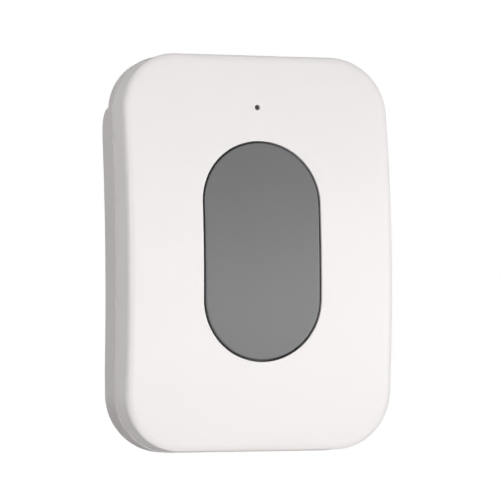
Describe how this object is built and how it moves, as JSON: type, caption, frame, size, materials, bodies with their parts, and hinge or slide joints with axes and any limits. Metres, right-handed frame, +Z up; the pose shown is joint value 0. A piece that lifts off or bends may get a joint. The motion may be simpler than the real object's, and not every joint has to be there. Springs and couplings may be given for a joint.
{
  "type": "wireless panic button",
  "caption": "Wall-mounted wireless panic button: bowed white case, long grey press key that springs back, and a status light behind a pinhole.",
  "frame": {"origin": "on the wall plane that the back rests on, at mid width and mid height", "axes": "+X right as seen from the front, +Y into the wall, +Z up; the front faces -Y"},
  "size_m": [0.0532, 0.0164, 0.075],
  "materials": {
    "front_shell": "fine satin moulded white",
    "rear_shell": "fine satin moulded white",
    "grey_key": "matte mid-grey moulded",
    "black_plastic": "matte black moulded",
    "clear_pipe": "clear moulded",
    "led_white": "pale gloss",
    "grey_rubber": "matte",
    "green_board": "green solder mask",
    "plunger_plastic": "matte",
    "cell_can": "brushed",
    "tinned_sheet": "tinned",
    "nickel_contact": "nickel plated",
    "chip_black": "matte",
    "copper_wire": "bright wire",
    "spring_wire": "bright wire",
    "capacitor_tan": "ceramic",
    "screw_steel": "zinc plated"
  },
  "bodies": {
    "case": {"front_cover": "front_shell", "rear_cover": "rear_shell", "button_carrier": "black_plastic", "return_spring_lower": "spring_wire", "return_spring_upper": "spring_wire", "light_pipe": "clear_pipe", "status_led": "led_white", "cover_gasket": "grey_rubber", "circuit_board": "green_board", "switch_body": "black_plastic", "switch_plate": "tinned_sheet", "switch_dome": "tinned_sheet", "coin_cell": "cell_can", "cell_holder": "black_plastic", "negative_contact": "nickel_contact", "positive_contact": "nickel_contact", "radio_chip": "chip_black", "radio_shield": "tinned_sheet", "controller_chip": "chip_black", "crystal_can": "nickel_contact", "antenna_coil": "copper_wire", "capacitor_1": "capacitor_tan", "capacitor_2": "capacitor_tan", "capacitor_3": "capacitor_tan", "capacitor_4": "capacitor_tan", "resistor_1": "chip_black", "resistor_2": "chip_black", "resistor_3": "chip_black", "resistor_4": "chip_black", "case_screw_1": "screw_steel", "case_screw_2": "screw_steel", "case_screw_3": "screw_steel", "case_screw_4": "screw_steel", "board_screw_1": "screw_steel", "board_screw_2": "screw_steel"},
    "button": {"panic_button": "grey_key"},
    "plunger": {"switch_plunger": "plunger_plastic"}
  },
  "joints": [
    {"name": "button_press", "type": "slide", "parent": "case", "child": "button", "axis": [0, 1, 0], "range_m": [0, 0.0006], "stiffness_N_per_m": 600, "springref_m": -0.0012, "deforming": ["return_spring_lower", "return_spring_upper"]},
    {"name": "switch_press", "type": "slide", "parent": "case", "child": "plunger", "axis": [0, 1, 0], "range_m": [0, 0.0006], "stiffness_N_per_m": 20, "deforming": ["switch_dome"]}
  ],
  "couplings": [
    {"joint": "switch_press", "follows": "button_press", "ratio": 1}
  ]
}
